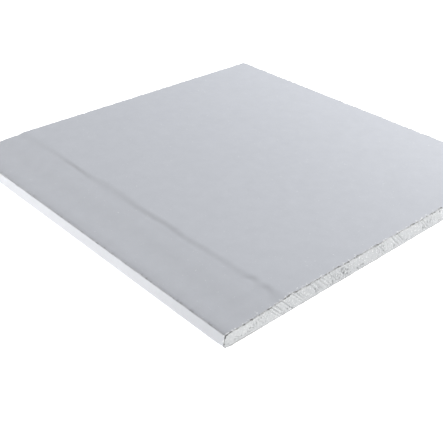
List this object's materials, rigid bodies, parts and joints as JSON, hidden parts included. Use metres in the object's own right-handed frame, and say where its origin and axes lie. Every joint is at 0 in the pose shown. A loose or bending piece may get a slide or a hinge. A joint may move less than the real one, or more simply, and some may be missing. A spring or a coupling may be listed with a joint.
{
  "type": "drywall sheet",
  "caption": "Square drywall panel: gypsum core between face and back papers, with a tapered paper-wrapped edge and sawn ends; lines walls and ceilings.",
  "frame": {"origin": "centre of the footprint, on the underside of the back paper, which is the surface the sheet lies on", "axes": "+Z out of the face, +Y along the tapered edge, +X from the tapered edge to the sawn side"},
  "size_m": [0.3, 0.3, 0.0125],
  "materials": {
    "gypsum": "sawn, chalky and matte",
    "face_paper": "smooth calendered paper, matte",
    "back_paper": "uncoated recycled paper, matte"
  },
  "bodies": {
    "root": {"gypsum_core": "gypsum", "face_paper": "face_paper", "back_paper": "back_paper"}
  },
  "joints": []
}
